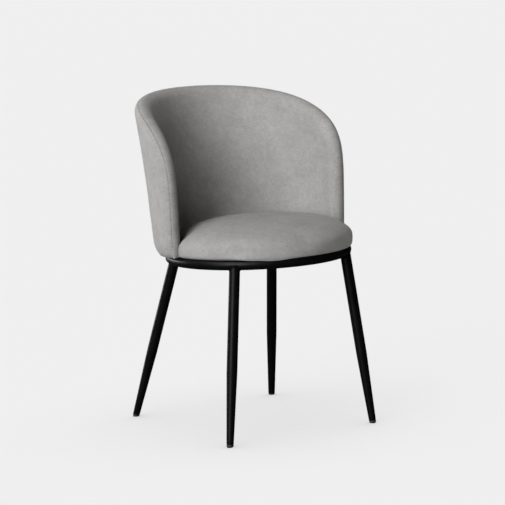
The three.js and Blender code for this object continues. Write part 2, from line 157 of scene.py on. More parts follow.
def swept_grid(rows, closed_rows=True, closed_columns=True):
    """Points and quads of a grid given as an array of rows x columns x 3."""
    count, width = rows.shape[:2]
    faces = []
    for row in range(count if closed_rows else count - 1):
        for column in range(width if closed_columns else width - 1):
            below = (row + 1) % count
            beside = (column + 1) % width
            faces.append((
                row * width + column,
                below * width + column,
                below * width + beside,
                row * width + beside,
            ))
    return rows.reshape(-1, 3), faces


# ---- Materials ----

class Nodes:
    """Short-hand for building one node material."""

    def __init__(self, name):
        self.material = bpy.data.materials.new(name)
        self.material.use_nodes = True
        self.tree = self.material.node_tree
        self.shader = self.tree.nodes["Principled BSDF"]

    def add(self, kind, values=None, **settings):
        node = self.tree.nodes.new(kind)
        for key, value in settings.items():
            setattr(node, key, value)
        for socket, value in (values or {}).items():
            if isinstance(value, bpy.types.NodeSocket):
                self.tree.links.new(value, node.inputs[socket])
            else:
                node.inputs[socket].default_value = value
        return node

    def math(self, operation, *values):
        return self.add("ShaderNodeMath", dict(enumerate(values)), operation=operation).outputs[0]

    def noise(self, vector, scale, detail=2.0, roughness=0.5):
        values = {"Vector": vector, "Scale": scale, "Detail": detail, "Roughness": roughness}
        return self.add("ShaderNodeTexNoise", values).outputs["Fac"]

    def stretch(self, vector, scale):
        return self.add("ShaderNodeMapping", {"Vector": vector, "Scale": scale}).outputs["Vector"]

    def place(self):
        return self.add("ShaderNodeTexCoord").outputs["Object"]

    def ramp(self, value, *stops):
        node = self.add("ShaderNodeValToRGB", {"Fac": value})
        elements = node.color_ramp.elements
        while len(elements) < len(stops):
            elements.new(0.5)
        for element, (position, colour) in zip(elements, stops):
            element.position = position
            element.color = (*colour, 1)
        return node.outputs["Color"]

    def mix(self, factor, first, second, blend="MIX"):
        node = self.add("ShaderNodeMix", data_type="RGBA", blend_type=blend)
        for socket, value in ((0, factor), (6, first), (7, second)):
            if isinstance(value, bpy.types.NodeSocket):
                self.tree.links.new(value, node.inputs[socket])
            else:
                node.inputs[socket].default_value = value
        return node.outputs[2]

    def bump(self, height, distance, strength=1.0, before=None):
        values = {"Height": height, "Distance": distance, "Strength": strength}
        if before is not None:
            values["Normal"] = before
        return self.add("ShaderNodeBump", values).outputs["Normal"]

    def surface(self, links=None, **values):
        for socket, source in (links or {}).items():
            self.tree.links.new(source, self.shader.inputs[socket])
        for socket, value in values.items():
            self.shader.inputs[socket.replace("_", " ")].default_value = value
        return self.material


def grey(value, warmth=0.0):
    return (value * (1 + warmth), value, value * (1 - warmth))


THREAD_PITCH = 0.0011
PLY_PITCH = 0.003                # two of the plywood's layers


def cloth_material(name, shade, warmth):
    """A flat, heathered weave: fine over-and-under bump, slubs, and uneven dye."""
    n = Nodes(name)
    flat = n.add("ShaderNodeAttribute", attribute_name="weave").outputs["Vector"]
    place = n.place()
    warp = n.noise(n.stretch(flat, (1500, 190, 1)), 1.0, 3.0)
    weft = n.noise(n.stretch(flat, (190, 1500, 1)), 1.0, 3.0)
    threads = n.math("MULTIPLY", n.math("ADD", warp, weft), 0.5)
    long_slub = n.noise(n.stretch(flat, (430, 75, 1)), 1.0, 2.0)
    cross_slub = n.noise(n.stretch(flat, (75, 430, 1)), 1.0, 2.0)
    slubs = n.math("MULTIPLY", n.math("ADD", long_slub, cross_slub), 0.5)
    speckle = n.noise(flat, 330, 2.0, 0.7)
    heather = n.math("ADD", n.math("MULTIPLY", threads, 0.35), n.math("MULTIPLY", speckle, 0.3))
    heather = n.math("MULTIPLY_ADD", slubs, 0.35, heather)
    colour = n.ramp(
        heather,
        (0.36, grey(shade * 0.80, warmth)),
        (0.50, grey(shade, warmth)),
        (0.64, grey(shade * 1.22, warmth * 0.8)),
    )
    blotches = n.ramp(n.noise(place, 85, 3.0, 0.6), (0.3, grey(0.94)), (0.7, grey(1.06)))
    uneven = n.ramp(n.noise(place, 26, 4.0, 0.6), (0.3, grey(0.93)), (0.7, grey(1.07)))
    broad = n.ramp(n.noise(place, 5, 2.0), (0.3, grey(0.97)), (0.7, grey(1.03)))
    for layer in (blotches, uneven, broad):
        colour = n.mix(1.0, colour, layer, "MULTIPLY")

    split = n.add("ShaderNodeSeparateXYZ", {"Vector": flat}).outputs
    across = n.math("SINE", n.math("MULTIPLY", split["X"], 2 * math.pi / THREAD_PITCH))
    along = n.math("SINE", n.math("MULTIPLY", split["Y"], 2 * math.pi / THREAD_PITCH))
    weave = n.math("MULTIPLY", across, along)
    lumps = n.math("ADD", n.math("MULTIPLY", weave, 0.3), n.math("MULTIPLY", threads, 1.4))
    normal = n.bump(lumps, 0.0003, 0.5)
    normal = n.bump(slubs, 0.0012, 0.5, normal)
    normal = n.bump(n.noise(place, 55, 3.0, 0.55), 0.0016, 0.45, normal)
    return n.surface(
        {"Base Color": colour, "Normal": normal},
        Roughness=0.92, Sheen_Weight=0.06, Sheen_Roughness=0.5, Specular_IOR_Level=0.2,
    )


def powder_coat(name):
    """Satin black powder coat: fine orange peel, uneven gloss and a little dust."""
    n = Nodes(name)
    place = n.place()
    peel = n.noise(place, 900, 2.0)
    cloudy = n.noise(place, 40, 3.0)
    dust = n.noise(place, 9, 5.0, 0.65)
    colour = n.ramp(dust, (0.35, grey(0.0016, -0.03)), (0.75, grey(0.0034, -0.02)))
    roughness = n.ramp(cloudy, (0.3, grey(0.34)), (0.7, grey(0.44)))
    return n.surface(
        {"Base Color": colour, "Roughness": roughness, "Normal": n.bump(peel, 0.00012, 0.35)},
        Specular_IOR_Level=0.14,
    )


def moulded_plastic(name):
    """Black plastic with a fine moulded grain, worn to an uneven gloss."""
    n = Nodes(name)
    place = n.place()
    colour = n.ramp(n.noise(place, 120, 4.0), (0.3, grey(0.010)), (0.75, grey(0.022)))
    roughness = n.ramp(n.noise(place, 300, 3.0), (0.3, grey(0.5)), (0.7, grey(0.68)))
    grain = n.bump(n.noise(place, 2500, 2.0), 0.0001, 0.4)
    return n.surface({"Base Color": colour, "Roughness": roughness, "Normal": grain})


def zinc_plate(name):
    """Zinc-plated steel, mottled and finely scratched."""
    n = Nodes(name)
    place = n.place()
    tarnish = n.noise(place, 260, 5.0, 0.6)
    colour = n.ramp(tarnish, (0.3, (0.42, 0.42, 0.44)), (0.7, (0.68, 0.68, 0.67)))
    roughness = n.ramp(tarnish, (0.3, grey(0.5)), (0.7, grey(0.28)))
    scratch = n.bump(n.noise(n.stretch(place, (4000, 300, 300)), 1.0, 2.0), 0.00005, 0.4)
    return n.surface({"Base Color": colour, "Roughness": roughness, "Normal": scratch}, Metallic=0.95)


def raw_plywood(name):
    """Birch-like plywood: stretched grain on the faces and plies across the edges."""
    n = Nodes(name)
    place = n.place()
    grain = n.noise(n.stretch(place, (18, 260, 260)), 1.0, 6.0, 0.6)
    colour = n.ramp(grain, (0.3, (0.43, 0.28, 0.15)), (0.7, (0.66, 0.49, 0.31)))
    height = n.add("ShaderNodeSeparateXYZ", {"Vector": place}).outputs["Z"]
    plies = n.math("SINE", n.math("MULTIPLY", height, 2 * math.pi / PLY_PITCH))
    colour = n.mix(n.math("MULTIPLY_ADD", plies, 0.12, 0.14), colour, (0.25, 0.15, 0.08, 1))
    return n.surface({"Base Color": colour, "Normal": n.bump(grain, 0.0004, 0.5)}, Roughness=0.7)


def open_foam(name):
    """Cream foam with open cells."""
    n = Nodes(name)
    place = n.place()
    cells = n.noise(place, 900, 3.0)
    colour = n.ramp(cells, (0.35, (0.62, 0.56, 0.40)), (0.65, (0.86, 0.81, 0.66)))
    return n.surface({"Base Color": colour, "Normal": n.bump(cells, 0.0008, 0.7)}, Roughness=0.95)


def black_fleece(name):
    """Black non-woven dust cloth with its pressed dot pattern and stray fibres."""
    n = Nodes(name)
    place = n.place()
    fibres = n.noise(place, 700, 6.0, 0.75)
    dots = n.add("ShaderNodeTexVoronoi", {"Vector": place, "Scale": 420.0}).outputs["Distance"]
    colour = n.ramp(fibres, (0.3, grey(0.012)), (0.7, grey(0.034)))
    normal = n.bump(dots, 0.0003, 0.5, n.bump(fibres, 0.0003, 0.5))
    return n.surface({"Base Color": colour, "Normal": normal}, Roughness=0.95, Sheen_Weight=0.1)


CLOTH = cloth_material("grey_cloth", 0.30, 0.020)
STEEL = powder_coat("black_steel")
ZINC = zinc_plate("zinc_steel")
PLASTIC = moulded_plastic("black_plastic")
PLYWOOD = raw_plywood("plywood")
FOAM = open_foam("foam")
FLEECE = black_fleece("black_fleece")
SLOT_MATERIALS = {
    "black_steel": STEEL,
    "zinc_steel": ZINC,
    "black_plastic": PLASTIC,
    "plywood": PLYWOOD,
    "foam": FOAM,
    "grey_cloth": CLOTH,
    "black_fleece": FLEECE,
}


# ---- Camera: long lens, from the chair's front left, a little above it ----

CAMERA_AZIMUTH = math.radians(-29.64)
CAMERA_ELEVATION = math.radians(7.40)
CAMERA_ROLL = math.radians(-2.85)
CAMERA_DISTANCE = 5.377
CAMERA_AIM = Vector((0, HOOP_Y, 0.4273))
CAMERA_SIDESTEP = -0.0142
CAMERA_LENS = 157.05             # millimetres
CAMERA_SIGHT = 400


def build_camera():
    turn, rise = CAMERA_AZIMUTH, CAMERA_ELEVATION
    back = Vector((math.sin(turn) * math.cos(rise), -math.cos(turn) * math.cos(rise), math.sin(rise)))
    right = Vector((math.cos(turn), math.sin(turn), 0))
    up = back.cross(right)
    place = CAMERA_AIM + right * CAMERA_SIDESTEP + back * CAMERA_DISTANCE
    rolled_right = right * math.cos(CAMERA_ROLL) + up * math.sin(CAMERA_ROLL)
    rolled_up = up * math.cos(CAMERA_ROLL) - right * math.sin(CAMERA_ROLL)
    lens = bpy.data.cameras.new("camera")
    lens.lens = CAMERA_LENS
    lens.clip_end = CAMERA_SIGHT
    camera = bpy.data.objects.new("camera", lens)
    camera.matrix_world = Matrix.Translation(place) @ Matrix(
        (rolled_right, rolled_up, back)
    ).transposed().to_4x4()
    SCENE.collection.objects.link(camera)
    SCENE.camera = camera


# ---- Floor and light ----

PAPER = 0.862                    # the pale floor and backdrop, as linear grey
SUNS = (
    # name, towards the light, strength, apparent size in degrees
    ("key_low", (-0.847, -0.489, 0.208), 2.2, 32),
    ("key_high", (-0.612, -0.354, 0.707), 1.45, 34),
    ("left_high", (-0.707, 0.0, 0.707), 0.72, 34),
    ("rear_left", (-0.335, 0.919, 0.208), 1.76, 32),
    ("right_fill", (0.963, 0.170, 0.208), 1.15, 32),
)
MATT_LIGHTS = ("right_fill",)    # too wide and soft to show in the gloss of the steel
AMBIENT = 0.002


def build_light():
    """Wide soft lamps, and a backdrop as pale as the floor that only the camera sees."""
    for name, towards, strength, size in SUNS:
        sun = bpy.data.lights.new(name, "SUN")
        sun.energy = strength
        sun.angle = math.radians(size)
        lamp = bpy.data.objects.new(name, sun)
        lamp.rotation_mode = "QUATERNION"
        lamp.rotation_quaternion = Vector(towards).to_track_quat("Z", "Y")
        lamp.visible_glossy = name not in MATT_LIGHTS
        SCENE.collection.objects.link(lamp)
    world = bpy.data.worlds.new("studio")
    SCENE.world = world
    world.use_nodes = True
    tree = world.node_tree
    room = tree.nodes["Background"]
    room.inputs["Color"].default_value = (1, 1, 1, 1)
    room.inputs["Strength"].default_value = AMBIENT
    paper = tree.nodes.new("ShaderNodeBackground")
    paper.inputs["Color"].default_value = (PAPER, PAPER, PAPER, 1)
    rays = tree.nodes.new("ShaderNodeLightPath")
    mix = tree.nodes.new("ShaderNodeMixShader")
    tree.links.new(rays.outputs["Is Camera Ray"], mix.inputs["Fac"])
    tree.links.new(room.outputs["Background"], mix.inputs[1])
    tree.links.new(paper.outputs["Background"], mix.inputs[2])
    tree.links.new(mix.outputs["Shader"], tree.nodes["World Output"].inputs["Surface"])


FLOOR_SIZE = 300
FLOOR_Z = -0.0005
FLOOR_GLOW = 0.815               # share of the paper's brightness that no lamp's shadow reaches
FLOOR_SHADE = 0.060              # diffuse share, which takes the lamps' shadows
FLOOR_PAINTED_SHADOW = 0.23                 # how much darker the paper's glow is painted where the chair hides the sky: a painted shadow
FLOOR_PAINTED_SHADOW_SPAN = (0.52, 0.92)    # shares of open sky between which the painted shadow deepens
FLOOR_PAINTED_SHADOW_REACH = 0.8            # how far off something can still hide it
FLOOR_BOUNCE = 0.50              # what the floor sends back up to the chair
FLOOR_MIRROR = 0.05              # and what shows of it in the gloss of the steel


def build_floor():
    """Pale paper that glows for the camera, with a painted shadow in its glow under the chair, and sends
    less up to the chair.
    """
    corners = ((-1, -1), (1, -1), (1, 1), (-1, 1))
    points = [(x * FLOOR_SIZE, y * FLOOR_SIZE, FLOOR_Z) for x, y in corners]
    floor = make_piece("floor", points, [(0, 1, 2, 3)])
    paper = Nodes("pale_paper")
    tree = paper.tree
    grain = paper.ramp(paper.noise(paper.place(), 3.0), (0.3, grey(0.995)), (0.7, grey(1.0)))
    tint = paper.mix(1.0, grain, (*grey(FLOOR_SHADE), 1), "MULTIPLY")
    seen = paper.add("ShaderNodeBsdfDiffuse", {"Color": tint}).outputs["BSDF"]
    hidden, clear = FLOOR_PAINTED_SHADOW_SPAN
    open_sky = paper.add("ShaderNodeAmbientOcclusion", {"Distance": FLOOR_PAINTED_SHADOW_REACH}).outputs["AO"]
    # painted shadow: the glow's colour is darkened where the chair hides the sky from the floor
    painted_shadow_glow = paper.ramp(open_sky, (hidden, grey(1 - FLOOR_PAINTED_SHADOW)), (clear, grey(1.0)))
    glow = paper.add("ShaderNodeEmission", {"Color": painted_shadow_glow, "Strength": FLOOR_GLOW}).outputs["Emission"]
    both = paper.add("ShaderNodeAddShader", {0: seen, 1: glow}).outputs["Shader"]
    bounce = paper.add("ShaderNodeBsdfDiffuse", {"Color": (*grey(FLOOR_BOUNCE), 1)}).outputs["BSDF"]
    mirror = paper.add("ShaderNodeBsdfDiffuse", {"Color": (*grey(FLOOR_MIRROR), 1)}).outputs["BSDF"]
    rays = paper.add("ShaderNodeLightPath").outputs
    soft = paper.add("ShaderNodeMixShader", {0: rays["Is Glossy Ray"], 1: bounce, 2: mirror})
    mixed = paper.add("ShaderNodeMixShader", {0: rays["Is Camera Ray"], 1: soft.outputs["Shader"], 2: both})
    tree.links.new(mixed.outputs["Shader"], tree.nodes["Material Output"].inputs["Surface"])
    tree.nodes.remove(paper.shader)
    floor.data.materials.append(paper.material)


# ---- Cloth round the hoop ----

TUBE_ROOM = -0.0001              # the cloth is pressed this lightly on the hoop's tube
HEM_Z = 0.4360                   # lowest edge of the cloth where it hangs outside the hoop


def over_hoop(x, y):
    """The lowest height that cloth takes at a place, over or outside the hoop's tube."""
    beyond = np.hypot(x, y - HOOP_Y) - HOOP_R
    room = TUBE + TUBE_ROOM
    over = HOOP_Z + np.sqrt(np.clip(room ** 2 - np.clip(beyond, 0, None) ** 2, 0, None))
    over = np.where(beyond >= room, 0, over)
    return np.maximum(HEM_Z, over)


FOOT_BLEND = 0.035               # height over which the foot's drop fades out
ARM_RISE = 0.003                 # how much higher the foot ends at the front of the arms
ARM_RISE_SPAN = (85, 130)        # fading out over these angles from the front, in degrees
LIP_DROP = 0.0048                # the foot sags this much where it lies on the tube's inner flank
LIP_PLACE = 0.0105               # this far inside the hoop's centre line
LIP_WIDTH = 0.0060


def settle_on_hoop(points):
    """Lets the foot of a back panel down on the hoop's tube, and past it where it hangs outside."""
    front, rear = ARM_RISE_SPAN
    degrees = np.degrees(np.arctan2(np.abs(points[:, 0]), HOOP_Y - points[:, 1]))
    beyond = np.hypot(points[:, 0], points[:, 1] - HOOP_Y) - HOOP_R
    rise = ARM_RISE * np.clip((rear - degrees) / (rear - front), 0, 1) * np.clip(beyond / TUBE, 0, 1)
    lip = LIP_DROP * np.exp(-((beyond + LIP_PLACE) / LIP_WIDTH) ** 2)
    drop = FOOT_Z - over_hoop(points[:, 0], points[:, 1]) - rise + lip
    fade = np.clip(1 - (points[:, 2] - FOOT_Z) / FOOT_BLEND, 0, 1) ** 2
    points[:, 2] -= drop * fade
    return points


# ---- Back ----

def wall_points(turn, height, offset):
    """Points of the wall: turn from the rear, height, and offset outwards from its middle surface."""
    share = np.abs(turn) / ARM_ANGLE
    forward = 1 + ARM_REACH * (height - LEAN_FROM) / ARM_REACH_HEIGHT * share ** ARM_REACH_POWER
    angle = turn * forward
    lean = SIDE_LEAN + (REAR_LEAN - SIDE_LEAN) * np.cos(angle) ** 2
    plan = WALL_R * (1 - WALL_FLATNESS * np.cos(2 * angle))
    radius = plan + lean * (height - LEAN_FROM) + offset
    return np.stack([radius * np.sin(angle), BACK_Y + radius * np.cos(angle), height + 0 * angle], -1)


def tuck(height):
    """How far the outside curls in at a height, towards the hoop."""
    share = 1 - np.clip((height - TUCK_FROM) / TUCK_HEIGHT, 0, 1)
    return TUCK_DEPTH * (1 - np.sqrt(1 - share * share))


RIM_SIDE_STEPS = 56
RIM_TOP_STEPS = 104
RIM_SAMPLES = 4001


def rim_line():
    """The rim as evenly spaced points (turn x WALL_R, height), left front foot to right front foot."""
    flat, round_ = RIM_POWER
    sweep = np.linspace(0, math.pi / 2, RIM_SAMPLES)
    across = np.cos(sweep) ** (2 / flat)
    rise = np.sin(sweep) ** (2 / round_)
    turn = ARM_ANGLE * across
    height = FOOT_Z + (BACK_TOP - RIM_DROP * (1 - np.cos(turn)) - FOOT_Z) * rise
    half = np.stack([turn * WALL_R, height], -1)
    length = np.concatenate([[0], np.cumsum(np.linalg.norm(np.diff(half, axis=0), axis=1))])
    corner = length[np.argmin(np.abs(across - 0.5 ** (1 / flat)))]
    side = np.linspace(0, corner, RIM_SIDE_STEPS + 1)[:-1]
    top = np.linspace(corner, length[-1], RIM_TOP_STEPS // 2 + 1)
    places = np.concatenate([side, top])
    half = np.stack([np.interp(places, length, half[:, axis]) for axis in (0, 1)], -1)
    other = half[:-1][::-1] * (-1, 1)
    return np.concatenate([half, other])[::-1]


RIM = rim_line()
RIM_TANGENT = np.gradient(RIM, axis=0)
RIM_TANGENT /= np.linalg.norm(RIM_TANGENT, axis=1)[:, None]
RIM_INWARD = np.stack([RIM_TANGENT[:, 1], -RIM_TANGENT[:, 0]], -1)
RIM_INWARD[0] = (1, 0)
RIM_INWARD[-1] = (-1, 0)
AWAY_FROM_RIM = 1.0              # inset given to every point inside the last ring


def wall_sheet(insets, offsets, face):
    """One side of a back panel: a strip of rings inside the rim, then an even grid.

    insets and offsets place each ring in from the rim and out from the wall's middle. face turns the
    (flat place, offset, inset) of every point into its final offset. Returns points, flat places,
    quads and the order of points along the open edge.
    """
    rings = RIM[None] + np.asarray(insets)[:, None, None] * RIM_INWARD[None]
    ring_count, stations = rings.shape[:2]
    left = rings[-1, : RIM_SIDE_STEPS + 1]
    top = rings[-1, RIM_SIDE_STEPS: RIM_SIDE_STEPS + RIM_TOP_STEPS + 1]
    right = rings[-1, RIM_SIDE_STEPS + RIM_TOP_STEPS:][::-1]
    u = np.linspace(0, 1, RIM_TOP_STEPS + 1)[None, :, None]
    v = np.linspace(0, 1, RIM_SIDE_STEPS + 1)[:, None, None]
    foot = left[0] + (right[0] - left[0]) * u
    grid = (
        (1 - v) * foot + v * top[None] + (1 - u) * left[:, None] + u * right[:, None]
        - (1 - u) * (1 - v) * left[0] - u * (1 - v) * right[0] - (1 - u) * v * left[-1] - u * v * right[-1]
    )
    inner = grid[:-1, 1:-1]
    flat = np.concatenate([rings.reshape(-1, 2), inner.reshape(-1, 2)])
    inner_count = inner.shape[0] * inner.shape[1]
    offset = np.concatenate([np.repeat(offsets, stations), np.full(inner_count, offsets[-1])])
    inset = np.concatenate([np.repeat(insets, stations), np.full(inner_count, AWAY_FROM_RIM)])
    points = settle_on_hoop(wall_points(flat[:, 0] / WALL_R, flat[:, 1], face(flat, offset, inset)))

    last_ring = (ring_count - 1) * stations
    number = np.zeros(grid.shape[:2], int)
    number[:-1, 1:-1] = np.arange(inner_count).reshape(inner.shape[:2]) + ring_count * stations
    number[:, 0] = last_ring + np.arange(RIM_SIDE_STEPS + 1)
    number[-1, :] = last_ring + RIM_SIDE_STEPS + np.arange(RIM_TOP_STEPS + 1)
    number[:, -1] = last_ring + stations - 1 - np.arange(RIM_SIDE_STEPS + 1)
    ring_number = np.arange(ring_count * stations).reshape(ring_count, stations)
    faces = grid_quads(ring_number) + grid_quads(number[::-1])
    edge = [
        *ring_number[0],
        *ring_number[1:, -1],
        *number[0, 1:-1][::-1],
        *ring_number[1:, 0][::-1],
    ]
    return points, flat, faces, edge


def grid_quads(number):
    """The quads of a grid of point numbers."""
    quads = []
    for row in range(number.shape[0] - 1):
        for column in range(number.shape[1] - 1):
            quads.append((
                number[row, column], number[row + 1, column],
                number[row + 1, column + 1], number[row, column + 1],
            ))
    return quads


def closed_panel(name, seen, hidden):
    """Joins the seen and the hidden side of a panel into one closed form."""
    points, flat, faces, edge = seen
    back_points, back_flat, back_faces, back_edge = hidden
    shift = len(points)
    faces = list(faces) + [tuple(shift + corner for corner in reversed(face)) for face in back_faces]
    for index, corner in enumerate(edge):
        following = (index + 1) % len(edge)
        faces.append((
            corner, edge[following], shift + back_edge[following], shift + back_edge[index],
        ))
    weave = np.concatenate([flat, back_flat])
    return make_piece(name, np.concatenate([points, back_points]), faces, weave)


SEAM_ANGLE = 28                  # the rim seam, round from the crest towards the outside
SEAM_SHAPE = (                   # degrees from the seam, depth of the groove
    (0.4, 0.0006), (1.2, 0.0004), (2.4, 0.0002), (4.0, 0.0001), (6.5, 0.00005), (9.5, 0.00001),
)
BEAD_STEPS = {-1: 14, 1: 8}      # points round the rest of the rim, towards the inside and the outside


def bead_profile(side):
    """Insets and offsets from the rim seam round the rim to one face of the wall (side is -1 or 1)."""
    angles = [SEAM_ANGLE + side * step for step, _ in SEAM_SHAPE]
    radii = [HALF_WALL - depth for _, depth in SEAM_SHAPE]
    rest = np.linspace(angles[-1], side * 90, BEAD_STEPS[side])[1:]
    angles = np.radians([*angles, *rest])
    radii = np.array([*radii, *[HALF_WALL] * len(rest)])
    return HALF_WALL - radii * np.cos(angles), radii * np.sin(angles)


def along_path(corners, count):
    """count points spread evenly along a line of (inset, offset) corners."""
    corners = np.array(corners)
    length = np.concatenate([[0], np.cumsum(np.linalg.norm(np.diff(corners, axis=0), axis=1))])
    places = np.linspace(0, length[-1], count)
    return np.interp(places, length, corners[:, 0]), np.interp(places, length, corners[:, 1])


PUCKER_PLACE = 0.002             # the inset at which they are deepest
PUCKER_WIDTH = 0.010
PUCKER_PITCH = (0.017, 0.03)
PUCKER_HEIGHT = 0.0005


def seam_puckers(flat, inset):
    """The small gathers that a sewn edge pulls into the cloth beside it."""
    near = np.exp(-((inset - PUCKER_PLACE) / PUCKER_WIDTH) ** 2) * (inset < AWAY_FROM_RIM / 2)
    run = (flat[:, 0] + flat[:, 1]) / PUCKER_PITCH[0]
    return near * smooth_noise(run, flat[:, 0] / PUCKER_PITCH[1], 5) * PUCKER_HEIGHT


SLOW_SWELL = (0.30, 0.0010)      # pitch and height of the padding's unevenness
QUICK_SWELL = (0.09, 0.00035)
CROWN_RISE = 0.0015              # how much further the middle of a panel is padded out


def cloth_swell(flat, seed):
    """Slow unevenness of the padding under the cloth."""
    total = 0
    for step, (pitch, height) in enumerate((SLOW_SWELL, QUICK_SWELL)):
        total = total + height * smooth_noise(flat[:, 0] / pitch, flat[:, 1] / pitch, seed + step)
    return total


def crown(flat):
    """0 at the panel's rim and foot, 1 in its middle."""
    across = np.clip(1 - np.abs(flat[:, 0] / (ARM_ANGLE * WALL_R)) ** 2.4, 0, 1)
    rise = np.clip((flat[:, 1] - FOOT_Z) / (BACK_TOP - FOOT_Z), 0, 1)
    return across * np.clip(4 * rise * (1 - rise), 0, 1) ** 0.7


def panel_swell(flat, inset, seed):
    return cloth_swell(flat, seed) + seam_puckers(flat, inset) + CROWN_RISE * crown(flat)


def inside_face(flat, offset, inset):
    """Seen side of the inside panel."""
    full = np.clip(-offset / HALF_WALL, 0, 1)
    return offset - panel_swell(flat, inset, 21) * full


def outside_face(flat, offset, inset):
    """Seen side of the outside panel, curling in towards the hoop."""
    full = np.clip(offset / HALF_WALL, 0, 1)
    return offset + panel_swell(flat, inset, 33) * full - tuck(flat[:, 1]) * full


CORE_FACE = PLY_HALF + 0.0008
HEM_TOP = 0.014                  # the inside panel's folded hem ends this far above the cloth's foot
HEM_STEP = 0.003                 # height over which the padding thins down to it
HEM_FOLD = 0.0045                # its thickness
THIN_PAD = 0.002                 # least thickness of the outside panel
INSIDE_RETURN = (                # insets and offsets of the inside panel's hidden side, round the plywood
    (0.010, 0.0058), (0.0128, 0.0050), (0.0130, -CORE_FACE), (HALF_WALL, -CORE_FACE),
)
OUTSIDE_RETURN = ((0.010, 0.0066), (0.0134, 0.0056), (HALF_WALL, CORE_FACE))


def inside_hidden(flat, offset, inset):
    """Hidden side of the inside panel, which closes in on its hem below the plywood."""
    foot = np.clip((FOOT_Z + HEM_TOP - flat[:, 1]) / HEM_STEP, 0, 1)
    return np.minimum(offset, offset + (HEM_FOLD - HALF_WALL - offset) * foot)


def outside_hidden(flat, offset, inset):
    """Hidden side of the outside panel, kept behind the seen side where that curls in."""
    return np.minimum(offset, HALF_WALL - tuck(flat[:, 1]) - THIN_PAD)


def build_back():
    insets, offsets = bead_profile(-1)
    start = (insets[0], offsets[0] - 0.0006)
    path = along_path([start, *INSIDE_RETURN], len(insets))
    inside = closed_panel(
        "back_inside_panel",
        wall_sheet(insets, offsets, inside_face),
        wall_sheet(*path, inside_hidden),
    )
    finish_piece(inside, "grey_cloth", CLOTH, "back_inside_cover", "back_inside_foam")

    insets, offsets = bead_profile(1)
    start = (insets[0] + 0.0004, offsets[0] - 0.0002)
    path = along_path([start, *OUTSIDE_RETURN], len(insets))
    outside = closed_panel(
        "back_outside_panel",
        wall_sheet(insets, offsets, outside_face),
        wall_sheet(*path, outside_hidden),
    )
    finish_piece(outside, "grey_cloth", CLOTH, "back_outside_cover", "back_outside_foam")


# ---- Seat cushion ----

def seat_blend(angle, span):
    """0 in front of a span of angles, 1 behind it."""
    low, high = np.radians(span)
    share = np.clip((np.arccos(np.cos(angle)) - low) / (high - low), 0, 1)
    return share * share * (3 - 2 * share)


def seat_outline(angle, share=1.0):
    """Distance of the outline from the crown's middle, at an angle from the front."""
    side, along = np.abs(np.sin(angle)), np.cos(angle)
    shift = SEAT_Y - HOOP_Y
    front = shift * along + np.sqrt(SEAT_RADIUS ** 2 - (shift * side) ** 2)
    total = (side / SEAT_HALF_WIDTH) ** SEAT_POWER + (np.abs(along) / SEAT_REAR) ** SEAT_POWER
    rear = total ** (-1 / SEAT_POWER)
    soft = front + (rear - front) * seat_blend(angle, SEAT_WAIST)
    sewn = front + (rear - front) * seat_blend(angle, SEAT_NOTCH)
    return soft + (sewn - soft) * share ** NOTCH_POWER


SEAT_SHRINK = 0.001              # the form starts this much smaller, and the pressure fills it out
SIDE_POWER = 2.2                 # roundness of the cushion's side below its widest line
HEM_INSET = (0.003, 0.007)       # least and most that the cushion narrows down to its hem
HEM_BEYOND = 0.0125              # the hem aims to lie this far outside the hoop's centre line
HEM_WIDTH = 0.010                # cloth turned in under the cushion
HEM_LIFT = 0.0012                # the cushion's hem is this much higher than the back's
HEM_RISE = 0.0049                # and this much higher still on the left, as hand-sewn cloth is uneven
HEM_RISE_FROM = 36               # degrees from the front, to the left
HEM_RISE_OVER = 20
HEM_SAG = 0.0031                 # and this much lower just left of the front
HEM_SAG_AT = 22
HEM_SAG_WIDTH = 10
CAP_STEPS = 60
SIDE_STEPS = 14
UNDER_SHARE = 0.88               # the flat underside reaches this share of the way to the outline
UNDERSIDE = PLATE_TOP + 0.0002


def seat_place(share, angle, inset):
    """x and y at a share of the way from the crown's middle to the outline."""
    radius = share * (seat_outline(angle, share) - inset)
    return radius * np.sin(angle), SEAT_Y - radius * np.cos(angle)


def cap_plan():
    """Shares and angles of a round cap laid out as a square grid, so that no edges gather in a fan."""
    spread = np.sin(np.linspace(-1, 1, CAP_STEPS + 1) * math.pi / 2)
    u, v = np.meshgrid(spread, spread, indexing="ij")
    x = u * np.sqrt(1 - v * v / 2)
    y = v * np.sqrt(1 - u * u / 2)
    return np.minimum(np.hypot(x, y), 1), np.arctan2(x, y)


def cap_edge(grid):
    """The values of a square grid, once round its edge."""
    return np.concatenate([grid[:-1, 0], grid[-1, :-1], grid[:0:-1, -1], grid[0, :0:-1]])


def seat_dome(share):
    """Height of the crown at a share of the way to the outline."""
    flat, round_ = CROWN_POWER
    rise = np.clip(1 - share ** flat, 0, 1) ** (1 / round_)
    return SEAT_WIDEST - SEAT_SHRINK + (SEAT_CROWN - SEAT_WIDEST) * rise


def hem_lift(angle):
    """How far the sewn hem rides up on the left of the cushion, and sags just left of its front."""
    degrees = np.degrees(np.arctan2(np.sin(angle), np.cos(angle)))
    left = np.clip((-HEM_RISE_FROM - degrees) / HEM_RISE_OVER, 0, 1)
    sag = np.exp(-((degrees + HEM_SAG_AT) / HEM_SAG_WIDTH) ** 2)
    return HEM_LIFT + HEM_RISE * left * left * (3 - 2 * left) - HEM_SAG * sag


def hem_line(angle):
    """Inset and height of the cushion's hem: it rests on the hoop, and hangs past it at the front."""
    x, y = seat_place(1, angle, 0)
    overhang = np.hypot(x, y - HOOP_Y) - HOOP_R
    inset = SEAT_SHRINK + np.clip(overhang - HEM_BEYOND, *HEM_INSET)
    return inset, over_hoop(*seat_place(1, angle, inset)) + hem_lift(angle)


